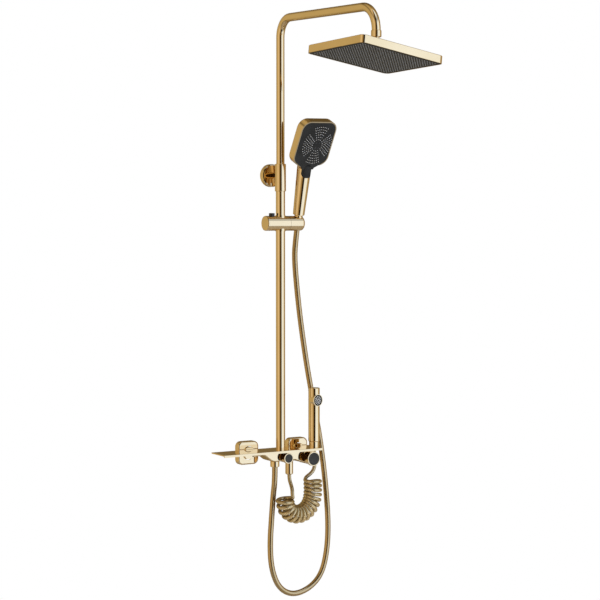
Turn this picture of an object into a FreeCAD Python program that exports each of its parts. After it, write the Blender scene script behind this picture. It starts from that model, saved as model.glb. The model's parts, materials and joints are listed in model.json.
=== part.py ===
import FreeCAD, Part
import Sketcher
import math
import os

# Rainfall shower column: a wall mixer with a shelf, a telescopic riser with a tilting rain head,
# a sliding holder with a hand shower, and a small bidet sprayer on a curly hose.
# Origin: midway between the two wall inlets, on the wall. +X right, +Y into the wall, +Z up.

Vector = FreeCAD.Vector
Rotation = FreeCAD.Rotation
Placement = FreeCAD.Placement

doc = FreeCAD.newDocument("RainShowerColumn")
sheet = doc.addObject("Spreadsheet::Sheet", "Sizes")


# ---------- driving dimensions, in millimetres and degrees ----------

SIZES = [
    # clearances
    ("seat_gap", 0.03, "gap between two pieces that are fixed together"),
    ("run_gap", 0.06, "radial gap of a piece that turns or slides in another"),
    # wall inlets
    ("inlet_spacing", 150, "centre distance of the wall inlets"),
    ("inlet_drop", 5, "offset of the eccentric unions"),
    ("wall_thread_radius", 10.48, "half inch pipe thread"),
    ("wall_thread_length", 14, "thread that enters the wall"),
    ("union_collar", 4, "thickness of the union's collar"),
    ("union_face", 14.4, "union's sealing face, from the wall"),
    ("union_thread_radius", 13.1, "three quarter inch thread"),
    ("union_bore", 5, "water way of the union"),
    ("washer_thickness", 2, "flat inlet washer"),
    ("nut_flats", 30, "union nut across its flats"),
    ("nut_length", 15, "union nut"),
    ("nut_lip", 2.5, "inner lip of the union nut"),
    ("flange_side", 61, "wall flange"),
    ("flange_depth", 18, "wall flange"),
    ("flange_wall", 2, "sheet of the wall flange"),
    ("flange_corner", 14, "corner radius of the wall flange"),
    ("flange_edge", 4.5, "rounded front edge of the wall flange"),
    # mixer body
    ("tail_radius", 7, "inlet tails and cross barrel"),
    ("tail_bore", 4.5, "water way of the tails"),
    ("collar_radius", 12.4, "collar behind the union nut"),
    ("collar_thickness", 3, "collar behind the union nut"),
    ("barrel_out", 40, "cross barrel's axis, from the wall"),
    ("block_front", 80, "front of the casting, from the wall"),
    ("block_back", 33, "back of the casting, from the wall"),
    ("block_bottom", 24, "lowest face of the casting, under the inlets"),
    # shelf
    ("shelf_left", 188, "left end, from the middle"),
    ("shelf_right", 104, "right end, from the middle"),
    ("shelf_front", 95, "front edge, from the wall"),
    ("shelf_back", 24, "back edge, from the wall"),
    ("shelf_top", 5, "top face, above the inlets"),
    ("shelf_thickness", 3, "plate"),
    ("lip_height", 6, "front lip"),
    ("lip_thickness", 3, "front lip"),
    # knobs: housing radius, knob radius, place
    ("diverter_drop", 15.1, "diverter axis, under the inlets"),
    ("diverter_housing", 12.5, "housing radius"),
    ("diverter_knob_radius", 13.7, "knob"),
    ("diverter_front", 98, "knob's front face, from the wall"),
    ("diverter_bore", 9.5, "cartridge bore"),
    ("diverter_bore_end", 69.5, "end of the cartridge bore, from the wall"),
    ("mixer_right", 72, "mixer axis, right of the middle"),
    ("mixer_drop", 20.5, "mixer axis, under the inlets"),
    ("mixer_housing", 16.5, "housing radius"),
    ("mixer_knob_radius", 18.7, "knob"),
    ("mixer_front", 105, "knob's front face, from the wall"),
    ("mixer_bore", 13.5, "cartridge bore"),
    ("mixer_bore_end", 62, "end of the cartridge bore, from the wall"),
    ("knob_depth", 11, "both knobs"),
    ("knob_wall", 2.3, "rim round the knob's face"),
    ("knob_face", 1.6, "thickness of the knob's face"),
    ("knob_gap", 0.4, "gap between a knob and its housing"),
    ("spindle_radius", 4, "cartridge spindle"),
    # hose outlets
    ("outlet_out", 62, "outlet axes, from the wall"),
    ("hose_outlet_left", 21.4, "hand hose outlet, left of the middle"),
    ("hose_nut_radius", 12, "hand hose's lower nut"),
    ("hose_nut_top", 24, "top of that nut, under the inlets"),
    ("hose_nut_bottom", 39.5, "bottom of that nut, under the inlets"),
    ("spigot_radius", 9.5, "half inch outlet spigot"),
    ("bidet_outlet_right", 22, "bidet outlet, right of the middle"),
    ("bidet_ferrule_radius", 10.2, "long ferrule"),
    ("bidet_ferrule_top", 25.5, "top of the ferrule, under the inlets"),
    ("bidet_ferrule_bottom", 62.5, "bottom of the ferrule, under the inlets"),
    ("bidet_spigot_radius", 7.5, "bidet outlet spigot"),
    ("bidet_spigot_end", 43, "end of the spigot, under the inlets"),
    # riser
    ("riser_out", 55, "riser axis, from the wall"),
    ("riser_radius", 12, "lower tube"),
    ("riser_seat", 11, "lower tube's end, under the inlets"),
    ("sleeve_wall", 2.4, "joint sleeve, outside the lower tube"),
    ("sleeve_low", 678, "joint sleeve's lower end"),
    ("sleeve_high", 749, "joint sleeve's upper end"),
    ("sleeve_step", 712, "where the lower tube ends inside the sleeve"),
    ("upper_radius", 10.7, "upper tube and arm"),
    ("upper_wall", 1, "upper tube and arm"),
    ("upper_low", 430, "upper tube's lower end"),
    ("arm_height", 1122.8, "arm axis at the riser, above the inlets"),
    ("arm_droop", 1.7, "slope of the arm down to the head"),
    ("arm_reach", 450, "from the riser to the rain head's axis"),
    ("arm_bend", 47, "bend radius at the riser"),
    ("outlet_bend", 60, "bend radius at the head"),
    # wall bracket
    ("bracket_height", 720, "bracket axis, above the inlets"),
    ("rose_radius", 29.8, "round cover"),
    ("rose_depth", 15.6, "round cover"),
    ("rose_wall", 2, "round cover"),
    ("stem_radius", 8, "bracket stem"),
    ("base_radius", 21, "wall base under the cover"),
    ("base_thickness", 6, "wall base under the cover"),
    ("wall_screw_radius", 2.2, "shank of a wall screw"),
    ("wall_screw_length", 25, "wall screw's length in the wall"),
    ("wall_screw_offset", 14, "wall screws, from the bracket axis"),
    # rain head
    ("ball_drop", 101.3, "ball centre, under the arm's axis at the riser"),
    ("ball_radius", 12, "ball"),
    ("seat_wall", 2, "wall of the ball's seat rings"),
    ("neck_radius", 7, "ball stub's neck"),
    ("socket_opening", 11.5, "mouth of the ball socket"),
    ("socket_radius", 17.5, "outside of the ball socket"),
    ("arm_nut_radius", 12.5, "nut at the arm's end"),
    ("arm_nut_low_drop", 86.8, "nut's lower face, under the arm's axis"),
    ("arm_nut_high_drop", 70.8, "nut's upper face, under the arm's axis"),
    ("arm_end_drop", 80.8, "end of the arm's tube, under the arm's axis"),
    ("head_width", 255, "rain head, along the wall"),
    ("head_depth", 205, "rain head, out from the wall"),
    ("head_thickness", 19, "rain head"),
    ("head_corner", 13, "corner radius of the rain head"),
    ("head_edge", 1.5, "rounded upper edge"),
    ("head_wall", 2.5, "cover of the rain head"),
    ("head_drop", 27.5, "ball centre to the middle of the slab"),
    ("head_face_thickness", 3, "nozzle plate"),
    ("head_yaw", 7.8, "turn of the head about the upright, as set"),
    ("head_pitch", -2.9, "tilt of the head's front, as set"),
    ("head_roll", 8.2, "tilt of the head's right end, as set"),
    # slider and holder
    ("slider_height", 595, "slider axis, above the inlets"),
    ("slider_radius", 19.3, "slider"),
    ("slider_left", 47, "left end, from the riser"),
    ("slider_seam", 21.5, "seam with the holder, from the riser"),
    ("holder_right", 66, "right end, from the riser"),
    ("cap_thickness", 5, "end cap"),
    ("bush_wall", 1.5, "plastic bush round the riser"),
    ("bush_half", 20.5, "half the bush's length"),
    ("button_offset", 14, "release button, from the lower tube's surface"),
    ("button_radius", 7.5, "release button"),
    ("button_top", 26.5, "release button's top, above the slider's axis"),
    ("cavity_radius", 14, "hollow of the slider"),
    ("pivot_radius", 9, "holder's pivot"),
    ("pivot_gap", 1.64, "gap between the holder's pivot and the bush"),
    ("holder_bore_at", 52, "hand shower's axis, from the riser"),
    ("cone_top_radius", 11, "hose cone at its top"),
    ("cone_bottom_radius", 9.4, "hose cone at its bottom"),
    ("cone_low", -17, "hose cone's lower end, along the hand shower's axis"),
    ("cone_high", 20, "hose cone's upper end"),
    ("handset_lean", 13, "hand shower's lean from the upright"),
    ("handset_turn", 6, "hand shower's turn in its cone"),
    # hand shower, along its own axis from the holder's middle
    ("stub_radius", 8.8, "threaded inlet"),
    ("stub_low", 4, "threaded inlet's end"),
    ("handle_low", 23, "handle's lower end"),
    ("handle_high", 160, "handle's upper end"),
    ("handle_low_radius", 15.2, "handle"),
    ("handle_high_radius", 19, "handle"),
    ("handle_bore", 6, "water way in the handle"),
    ("spray_bend", 15, "lean of the spray head on its handle"),
    ("spray_width", 111, "spray head"),
    ("spray_height", 124, "spray head"),
    ("spray_thickness", 26, "spray head"),
    ("spray_corner", 26, "corner radius of the spray head"),
    ("spray_edge", 6, "rounded back edge of the spray head"),
    ("spray_centre", 221, "spray head's middle, along the handle's axis"),
    ("spray_forward", 22, "spray head's middle, out from the handle's axis"),
    ("spray_rim", 3, "gold rim round the dark face"),
    ("spray_face", 3, "thickness of the dark face"),
    ("tongue_width", 31, "dark tongue on the handle"),
    ("tongue_low", 124, "tongue's lower end"),
    ("tongue_depth", 4, "depth of the tongue in the handle"),
    # bidet sprayer, above the shelf
    ("sprayer_right", 94, "sprayer axis, right of the middle"),
    ("sprayer_out", 69, "sprayer axis, from the wall"),
    ("sprayer_turn", 11, "sprayer's turn about the upright"),
    ("cup_radius", 13.3, "holder cup"),
    ("cup_bore", 10.2, "holder cup"),
    ("cup_height", 15.5, "holder cup"),
    ("cup_floor", 2, "holder cup"),
    ("cup_hole", 6, "hose hole in the cup and shelf"),
    ("sprayer_low", 16, "sprayer's lower end, above the shelf"),
    ("sprayer_high", 157, "sprayer's upper end, above the shelf"),
    ("sprayer_radius", 15, "sprayer"),
    ("sprayer_wall", 2.2, "sprayer"),
    ("sprayer_stub", 7.4, "threaded inlet of the sprayer"),
    ("sprayer_nut", 9.6, "hose nut in the cup"),
    ("spray_disc_radius", 16, "sprayer's disc"),
    ("spray_disc_height", 125, "sprayer's disc, above the shelf"),
    ("spray_disc_out", 16, "sprayer's disc, from the sprayer's axis"),
    ("trigger_low", 96, "lever's lower end, above the shelf"),
    ("trigger_width", 9, "lever"),
    ("trigger_thickness", 2.2, "lever"),
    ("trigger_out", 15, "lever's inner face, from the sprayer's axis"),
    ("trigger_pin_height", 150, "lever's pin, above the shelf"),
    ("trigger_recess", 8.5, "recess behind the lever, from the sprayer's axis"),
    # hoses
    ("hand_hose_radius", 7.3, "hand hose"),
    ("bidet_hose_radius", 4.7, "bidet hose"),
    ("curl_radius", 23, "outside of the curly hose"),
]


class Size:
    """A number together with the sheet expression that gives it."""

    def __init__(self, value, text):
        self.value = value
        self.text = text

    def __add__(self, other):
        other = as_size(other)
        return Size(self.value + other.value, f"({self.text} + {other.text})")

    def __sub__(self, other):
        other = as_size(other)
        return Size(self.value - other.value, f"({self.text} - {other.text})")

    def __mul__(self, other):
        other = as_size(other)
        return Size(self.value * other.value, f"({self.text} * {other.text})")

    def __truediv__(self, other):
        other = as_size(other)
        return Size(self.value / other.value, f"({self.text} / {other.text})")

    def __neg__(self):
        return Size(-self.value, f"(0 - {self.text})")

    def __radd__(self, other):
        return as_size(other) + self

    def __rsub__(self, other):
        return as_size(other) - self

    def __rmul__(self, other):
        return as_size(other) * self


def sine(angle):
    return Size(math.sin(math.radians(angle.value)), f"sin({angle.text})")


def cosine(angle):
    return Size(math.cos(math.radians(angle.value)), f"cos({angle.text})")


def as_size(number):
    return number if isinstance(number, Size) else Size(float(number), repr(float(number)))


class SizeSet:
    """The sheet's sizes as attributes."""


s = SizeSet()
for row, (alias, value, note) in enumerate(SIZES, start=1):
    sheet.set(f"A{row}", note)
    sheet.set(f"B{row}", str(value))
    sheet.setAlias(f"B{row}", alias)
    setattr(s, alias, Size(float(value), f"Sizes.{alias}"))
doc.recompute()

# heights that follow the arm's height
s.ball_height = s.arm_height - s.ball_drop
s.arm_nut_low = s.arm_height - s.arm_nut_low_drop
s.arm_nut_high = s.arm_height - s.arm_nut_high_drop
s.arm_end = s.arm_height - s.arm_end_drop

# what goes round the lower tube
s.sleeve_radius = s.riser_radius + s.sleeve_wall
s.button_left = s.riser_radius + s.button_offset
s.pivot_length = s.slider_seam - s.riser_radius - s.run_gap - s.bush_wall - s.pivot_gap

pieces = []


# ---------- helpers ----------

def bind(item, **sizes):
    for name, size in sizes.items():
        item.setExpression(name, as_size(size).text)


def stand(item, x=0, y=0, z=0, turn=None):
    """Give an object its place, tied to the sheet, and its turn."""
    if turn is not None:
        item.Placement = Placement(Vector(), turn)
    for name, size in (("x", x), ("y", y), ("z", z)):
        item.setExpression(f"Placement.Base.{name}", as_size(size).text)
    return item


def keep(label, item):
    """Name a finished piece."""
    item.Label = label
    pieces.append(item)
    return item


ALONG = {
    "x": Rotation(Vector(0, 1, 0), 90),
    "y": Rotation(Vector(1, 0, 0), -90),
    "front": Rotation(Vector(1, 0, 0), 90),
    "z": Rotation(),
}


def rod(along, radius, start, end, x=0, y=0, z=0):
    """A plain cylinder from start to end along one axis."""
    item = doc.addObject("Part::Cylinder", "Rod")
    start = as_size(start)
    bind(item, Radius=radius, Height=as_size(end) - start)
    place = {"x": x, "y": y, "z": z, along: start}
    return stand(item, turn=ALONG[along], **place)


def ball(radius, x=0, y=0, z=0):
    item = doc.addObject("Part::Sphere", "Ball")
    bind(item, Radius=radius)
    return stand(item, x, y, z)


def brick(x_low, x_high, y_low, y_high, z_low, z_high):
    item = doc.addObject("Part::Box", "Brick")
    x_low, y_low, z_low = as_size(x_low), as_size(y_low), as_size(z_low)
    bind(item, Length=as_size(x_high) - x_low, Width=as_size(y_high) - y_low, Height=as_size(z_high) - z_low)
    return stand(item, x_low, y_low, z_low)


def hexagon(flats, start, end, along, x=0, y=0, z=0):
    item = doc.addObject("Part::Prism", "Hexagon")
    item.Polygon = 6
    start = as_size(start)
    bind(item, Circumradius=as_size(flats) / math.sqrt(3), Height=as_size(end) - start)
    place = {"x": x, "y": y, "z": z, along: start}
    return stand(item, turn=ALONG[along], **place)


def fuse(*items):
    item = doc.addObject("Part::MultiFuse", "Joined")
    item.Shapes = list(items)
    return item


def cut(base, *tools):
    """Take the tools away one after the other."""
    for tool in tools:
        item = doc.addObject("Part::Cut", "Cut")
        item.Base = base
        item.Tool = tool
        base = item
    return base


def common(first, second):
    item = doc.addObject("Part::MultiCommon", "Shared")
    item.Shapes = [first, second]
    return item


def compound(*items):
    item = doc.addObject("Part::Compound", "Group")
    item.Links = list(items)
    return item


def outline_sketch(body, plane, corners, lift=0):
    """A closed, fully constrained outline of straight sides, every corner tied to the sheet."""
    sketch = body.newObject("Sketcher::SketchObject", "Outline")
    support = next(item for item in body.Origin.OriginFeatures if item.Role == plane)
    sketch.AttachmentSupport = [(support, "")]
    sketch.MapMode = "FlatFace"
    sketch.setExpression("AttachmentOffset.Base.z", as_size(lift).text)
    corners = [(as_size(across), as_size(up)) for across, up in corners]
    spots = [Vector(across.value, up.value, 0) for across, up in corners]
    count = len(spots)
    for i in range(count):
        sketch.addGeometry(Part.LineSegment(spots[i], spots[(i + 1) % count]))
    for i in range(count):
        sketch.addConstraint(Sketcher.Constraint("Coincident", i, 2, (i + 1) % count, 1))
    for i, corner in enumerate(corners):
        for kind, size in zip(("DistanceX", "DistanceY"), corner):
            index = sketch.addConstraint(Sketcher.Constraint(kind, -1, 1, i, 1, size.value))
            sketch.setExpression(f"Constraints[{index}]", size.text)
    return sketch


def turned(outline, x=0, y=0, z=0, turn=None):
    """A lathe piece: (radius, height) corners turned about the piece's own Z axis."""
    body = doc.addObject("PartDesign::Body", "Turned")
    sketch = outline_sketch(body, "XZ_Plane", outline)
    feature = body.newObject("PartDesign::Revolution", "Revolution")
    feature.Profile = sketch
    feature.ReferenceAxis = (sketch, ["V_Axis"])
    feature.Angle = 360
    return stand(body, x, y, z, turn)


def prism(outline, start, end, plane="XY_Plane", x=0, y=0, z=0, turn=None):
    """A padded outline, from start to end along the plane's normal."""
    body = doc.addObject("PartDesign::Body", "Padded")
    sketch = outline_sketch(body, plane, outline, start)
    pad = body.newObject("PartDesign::Pad", "Pad")
    pad.Profile = sketch
    bind(pad, Length=as_size(end) - as_size(start))
    return stand(body, x, y, z, turn)


def round_edges(body, radius, wanted):
    """Fillet the edges of a body's last feature that the test picks out."""
    doc.recompute()
    tip = body.Tip
    names = [f"Edge{i}" for i, edge in enumerate(tip.Shape.Edges, start=1) if wanted(edge)]
    fillet = body.newObject("PartDesign::Fillet", "Rounded")
    fillet.Base = (tip, names)
    bind(fillet, Radius=radius)
    return body


def upright(edge):
    first, last = edge.Vertexes[0].Point, edge.Vertexes[-1].Point
    return abs(first.x - last.x) < 1e-6 and abs(first.y - last.y) < 1e-6 and abs(first.z - last.z) > 1e-6


def level(height):
    """A test for edges that lie at one height."""
    return lambda edge: all(abs(vertex.Z - as_size(height).value) < 1e-6 for vertex in edge.Vertexes)


def slab(width, depth, low, high, corner, top_edge=None, bottom_edge=None):
    """A rounded rectangular block about the Z axis."""
    half_width, half_depth = as_size(width) / 2, as_size(depth) / 2
    outline = [
        (-half_width, -half_depth),
        (half_width, -half_depth),
        (half_width, half_depth),
        (-half_width, half_depth),
    ]
    body = prism(outline, low, high)
    round_edges(body, corner, upright)
    if top_edge is not None:
        round_edges(body, top_edge, level(high))
    if bottom_edge is not None:
        round_edges(body, bottom_edge, level(low))
    return body


def ring(outer, inner, start, end):
    """Outline of a plain ring."""
    return [(inner, start), (outer, start), (outer, end), (inner, end)]


# ---------- wall inlets ----------

union_nuts = []
wall_flanges = []


def build_inlet(name, side):
    """Eccentric union, its flange, its nut: everything between the wall and one inlet tail."""
    x = s.inlet_spacing / 2 * side
    low = -s.inlet_drop
    union = cut(
        fuse(
            rod("y", s.wall_thread_radius, 0, s.wall_thread_length, x),
            rod("y", s.union_thread_radius + 1.4, -s.union_collar, 0, x, z=low / 2),
            rod("y", s.union_thread_radius, -s.union_face, -s.union_collar, x, z=low),
        ),
        rod("y", s.union_bore, -s.union_collar + 1, s.wall_thread_length, x),
        rod("y", s.union_bore, -s.union_face, -1, x, z=low),
    )
    keep(f"inlet_union_{name}", union)

    washer_end = s.union_face + s.washer_thickness
    lip_face = washer_end + s.collar_thickness + s.seat_gap
    nut_front = lip_face + s.nut_lip
    nut = cut(
        common(
            hexagon(s.nut_flats, -nut_front, -nut_front + s.nut_length, "y", x, z=low),
            turned(
                [
                    (0, nut_front - s.nut_length),
                    (s.nut_flats / 2 + 1.2, nut_front - s.nut_length),
                    (s.nut_flats / 2 + 2.4, nut_front - s.nut_length + 1.2),
                    (s.nut_flats / 2 + 2.4, nut_front - 1.2),
                    (s.nut_flats / 2 + 1.2, nut_front),
                    (0, nut_front),
                ],
                x,
                0,
                low,
                ALONG["front"],
            ),
        ),
        rod("y", s.union_thread_radius + s.seat_gap, -lip_face, 0, x, z=low),
        rod("y", s.tail_radius + s.seat_gap, -nut_front, -lip_face, x, z=low),
    )
    union_nuts.append(nut)

    inner_side = s.flange_side - s.flange_wall * 2
    flange = cut(
        slab(s.flange_side, s.flange_side, 0, s.flange_depth, s.flange_corner, top_edge=s.flange_edge),
        slab(inner_side, inner_side, 0, s.flange_depth - s.flange_wall, s.flange_corner - s.flange_wall,
             top_edge=s.flange_edge - s.flange_wall),
        rod("z", s.nut_flats / math.sqrt(3) + 0.6, 0, s.flange_depth),
    )
    wall_flanges.append(stand(flange, x, 0, low, ALONG["front"]))


def build_inlet_groups():
    start = s.union_face + s.seat_gap
    end = s.union_face + s.washer_thickness - s.seat_gap
    washers = [
        turned(ring(s.union_thread_radius - 0.5, s.union_bore + 1, start, end),
               s.inlet_spacing / 2 * side, 0, -s.inlet_drop, ALONG["front"])
        for side in (-1, 1)
    ]
    keep("inlet_washers", compound(*washers))
    keep("union_nuts", compound(*union_nuts))
    keep("wall_flanges", compound(*wall_flanges))


# ---------- mixer ----------

def build_mixer_body():
    """Cast body: cross barrel, block under the shelf, two valve housings, spigots and water ways."""
    low = -s.inlet_drop
    half = s.inlet_spacing / 2
    under = s.shelf_top - s.shelf_thickness
    bottom = -s.block_bottom
    tail_end = s.union_face + s.washer_thickness
    solids = [rod("x", s.tail_radius, -half, half, y=-s.barrel_out, z=low)]
    for side in (-1, 1):
        solids.append(rod("y", s.tail_radius, -s.barrel_out, -tail_end, half * side, z=low))
        collar_front = -tail_end - s.collar_thickness
        solids.append(rod("y", s.collar_radius, collar_front, -tail_end, half * side, z=low))
    right = s.mixer_right + s.mixer_housing
    block = prism(
        [
            (-half + 9, under),
            (-half + 9, under - 6),
            (-half + 17, under - 10),
            (-half + 34, bottom + 3),
            (-half + 42, bottom),
            (s.bidet_outlet_right - 12, bottom),
            (s.bidet_outlet_right + 8, bottom + 1),
            (s.mixer_right - 14, -s.mixer_drop - s.mixer_housing + 4),
            (s.mixer_right, -s.mixer_drop - s.mixer_housing + 0.6),
            (right - 4, -s.mixer_drop - 11),
            (right, -s.mixer_drop),
            (right, under),
        ],
        s.block_back,
        s.block_front,
        plane="XZ_Plane",
    )
    round_edges(block, 3, lambda edge: abs(edge.Vertexes[0].Y + s.block_front.value) < 1e-6
                and abs(edge.Vertexes[-1].Y + s.block_front.value) < 1e-6
                and min(vertex.Z for vertex in edge.Vertexes) < under.value - 1)
    solids.append(block)
    diverter_face = s.diverter_front - s.knob_depth - s.knob_gap
    mixer_face = s.mixer_front - s.knob_depth - s.knob_gap
    solids.append(rod("y", s.diverter_housing, -diverter_face, -s.block_back - 20, 0, z=-s.diverter_drop))
    solids.append(rod("y", s.mixer_housing, -mixer_face, -s.block_back - 12, s.mixer_right, z=-s.mixer_drop))
    spigots = [
        (s.spigot_radius, -s.hose_outlet_left, -s.hose_nut_bottom + 3),
        (s.bidet_spigot_radius, s.bidet_outlet_right, -s.bidet_spigot_end),
    ]
    for radius, x, end in spigots:
        solids.append(rod("z", radius, end, bottom + 6, x, -s.outlet_out))

    riser_bore = s.riser_radius + s.seat_gap
    waterway = s.tail_bore
    port = s.tail_bore - 1
    mixed_out = s.diverter_bore_end + 3
    mixed_drop = s.diverter_drop + 3
    hollows = [
        # hot and cold ways from the tails to the mixing chamber
        rod("x", waterway, -half, s.mixer_right - 10, y=-s.barrel_out, z=low),
        rod("y", port, -s.mixer_bore_end - 0.5, -s.barrel_out, s.mixer_right - 10, z=low - 4),
        rod("y", waterway, -s.barrel_out, -tail_end + 0.1, -half, z=low),
        rod("y", waterway, -s.mixer_bore_end - 0.5, -tail_end + 0.1, half, z=low),
        # cartridge bores
        rod("y", s.diverter_bore, -diverter_face - 1, -s.diverter_bore_end, 0, z=-s.diverter_drop),
        rod("y", s.mixer_bore, -mixer_face - 1, -s.mixer_bore_end, s.mixer_right, z=-s.mixer_drop),
        # mixed water to the diverter, and on to the riser and the two outlets
        rod("x", port, 5, s.mixer_right - 11, y=-mixed_out, z=-mixed_drop),
        rod("z", riser_bore, -s.riser_seat, under + 1, 0, -s.riser_out),
        rod("z", waterway, -mixed_drop, -s.riser_seat + 1, 0, -s.riser_out - 5),
        rod("y", waterway, -mixed_out, -s.riser_out - 5, 0, z=-mixed_drop),
        rod("z", waterway, -s.hose_nut_bottom, -mixed_drop, -s.hose_outlet_left, -s.outlet_out),
        rod("x", port, -s.hose_outlet_left, -6, y=-s.outlet_out - 6, z=-mixed_drop),
        rod("z", port, -s.bidet_spigot_end, -mixed_drop, s.bidet_outlet_right, -s.outlet_out),
        rod("y", port, -mixed_out, -s.outlet_out, s.bidet_outlet_right, z=-mixed_drop),
    ]
    keep("mixer_body", cut(fuse(*solids), *hollows))


def build_shelf():
    """Flat plate with a front lip, resting on the casting."""
    under = s.shelf_top - s.shelf_thickness
    plate = prism(
        [
            (-s.shelf_front, s.shelf_top - s.lip_height),
            (-s.shelf_front + s.lip_thickness, s.shelf_top - s.lip_height),
            (-s.shelf_front + s.lip_thickness, under),
            (-s.shelf_back, under),
            (-s.shelf_back, s.shelf_top),
            (-s.shelf_front, s.shelf_top),
        ],
        -s.shelf_left,
        s.shelf_right,
        plane="YZ_Plane",
    )
    edge_round = 0.8
    front, top = -s.shelf_front.value, s.shelf_top.value
    round_edges(plate, edge_round, lambda edge: all(
        abs(vertex.Y - front) < 1e-6 and abs(vertex.Z - top) < 1e-6 for vertex in edge.Vertexes))
    shelf = cut(
        plate,
        rod("z", s.riser_radius + 0.3, under - 1, s.shelf_top + 1, 0, -s.riser_out),
        rod("z", s.cup_hole, under - 1, s.shelf_top + 1, s.sprayer_right, -s.sprayer_out),
    )
    keep("shelf_plate", shelf)


def build_valve(name, x, drop, front, knob_radius, bore, bore_end):
    """Cartridge, retaining ring, spindle, knob and knob face of one valve."""
    place = dict(x=x, y=0, z=-drop, turn=ALONG["front"])
    mouth = front - s.knob_depth - s.knob_gap
    cartridge_end = mouth - 6
    spindle_hole = s.spindle_radius + s.run_gap
    outer = bore - s.seat_gap
    keep(f"{name}_cartridge", turned(
        [
            (0, bore_end + s.seat_gap),
            (outer, bore_end + s.seat_gap),
            (outer, cartridge_end),
            (spindle_hole, cartridge_end),
            (spindle_hole, bore_end + 5),
            (0, bore_end + 5),
        ], **place))
    keep(f"{name}_retaining_ring", turned(
        ring(outer, s.spindle_radius + 1, cartridge_end + s.seat_gap, mouth), **place))
    spindle_end = front - s.knob_face - 1
    keep(f"{name}_spindle", turned(
        [(0, bore_end + 5 + s.run_gap), (s.spindle_radius, bore_end + 5 + s.run_gap),
         (s.spindle_radius, spindle_end), (0, spindle_end)], **place))
    hub = s.spindle_radius + s.seat_gap
    recess = front - s.knob_face
    keep(f"{name}_knob", turned(
        [
            (hub, front - s.knob_depth),
            (knob_radius - 0.6, front - s.knob_depth),
            (knob_radius, front - s.knob_depth + 0.6),
            (knob_radius, front - 0.5),
            (knob_radius - 0.5, front),
            (knob_radius - s.knob_wall, front),
            (knob_radius - s.knob_wall, recess - 0.6),
            (hub, recess - 0.6),
        ], **place))
    keep(f"{name}_knob_face", turned(
        [
            (0, recess - 0.6 + s.seat_gap),
            (knob_radius - s.knob_wall - s.seat_gap, recess - 0.6 + s.seat_gap),
            (knob_radius - s.knob_wall - s.seat_gap, front - 0.5),
            (0, front - 0.5),
        ], **place))


# ---------- riser ----------

def build_riser():
    y = -s.riser_out
    inner = s.upper_radius + s.run_gap
    keep("riser_lower_tube", turned(
        ring(s.riser_radius, inner, -s.riser_seat + s.seat_gap, s.sleeve_step - s.seat_gap), 0, y, 0))
    keep("riser_joint_sleeve", turned(
        [
            (s.riser_radius + s.seat_gap, s.sleeve_low),
            (s.sleeve_radius - 0.8, s.sleeve_low),
            (s.sleeve_radius, s.sleeve_low + 0.8),
            (s.sleeve_radius, s.sleeve_high - 0.8),
            (s.sleeve_radius - 0.8, s.sleeve_high),
            (s.upper_radius + s.run_gap, s.sleeve_high),
            (s.upper_radius + s.run_gap, s.sleeve_step),
            (s.riser_radius + s.seat_gap, s.sleeve_step),
        ], 0, y, 0))


def bend(radius, tube_radius, y, z, start, sweep):
    """A tube's bend about a centre in the upright plane; angles are taken from +Y towards +Z."""
    item = doc.addObject("Part::Torus", "Bend")
    bind(item, Radius1=radius, Radius2=tube_radius, Angle3=sweep)
    turn = Rotation(Vector(1, 0, 0), as_size(start).value) * Rotation(Vector(1, 1, 1), 120)
    return stand(item, 0, y, z, turn)


def arm_solid(radius):
    """The upper tube's path as solid bars: up, forward with a slight droop, and down."""
    back = -s.riser_out
    front = -s.riser_out - s.arm_reach
    slope_sine, slope_cosine = sine(s.arm_droop), cosine(s.arm_droop)
    first_y, first_z = back - s.arm_bend, s.arm_height - s.arm_bend
    second_y = front + s.outlet_bend
    bend_change = s.outlet_bend - s.arm_bend
    length = (first_y - second_y + bend_change * slope_sine) / slope_cosine
    second_z = first_z - length * slope_sine - bend_change * slope_cosine
    arm = doc.addObject("Part::Cylinder", "Arm")
    bind(arm, Radius=radius, Height=length)
    stand(arm, 0, second_y - s.outlet_bend * slope_sine, second_z + s.outlet_bend * slope_cosine,
          Rotation(Vector(1, 0, 0), s.arm_droop.value) * ALONG["y"])
    return fuse(
        rod("z", radius, s.upper_low, first_z, 0, back),
        bend(s.arm_bend, radius, first_y, first_z, 0, 90 + s.arm_droop),
        arm,
        bend(s.outlet_bend, radius, second_y, second_z, 90 + s.arm_droop, 90 - s.arm_droop),
        rod("z", radius, s.arm_end + s.seat_gap, second_z, 0, front),
    )


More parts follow.
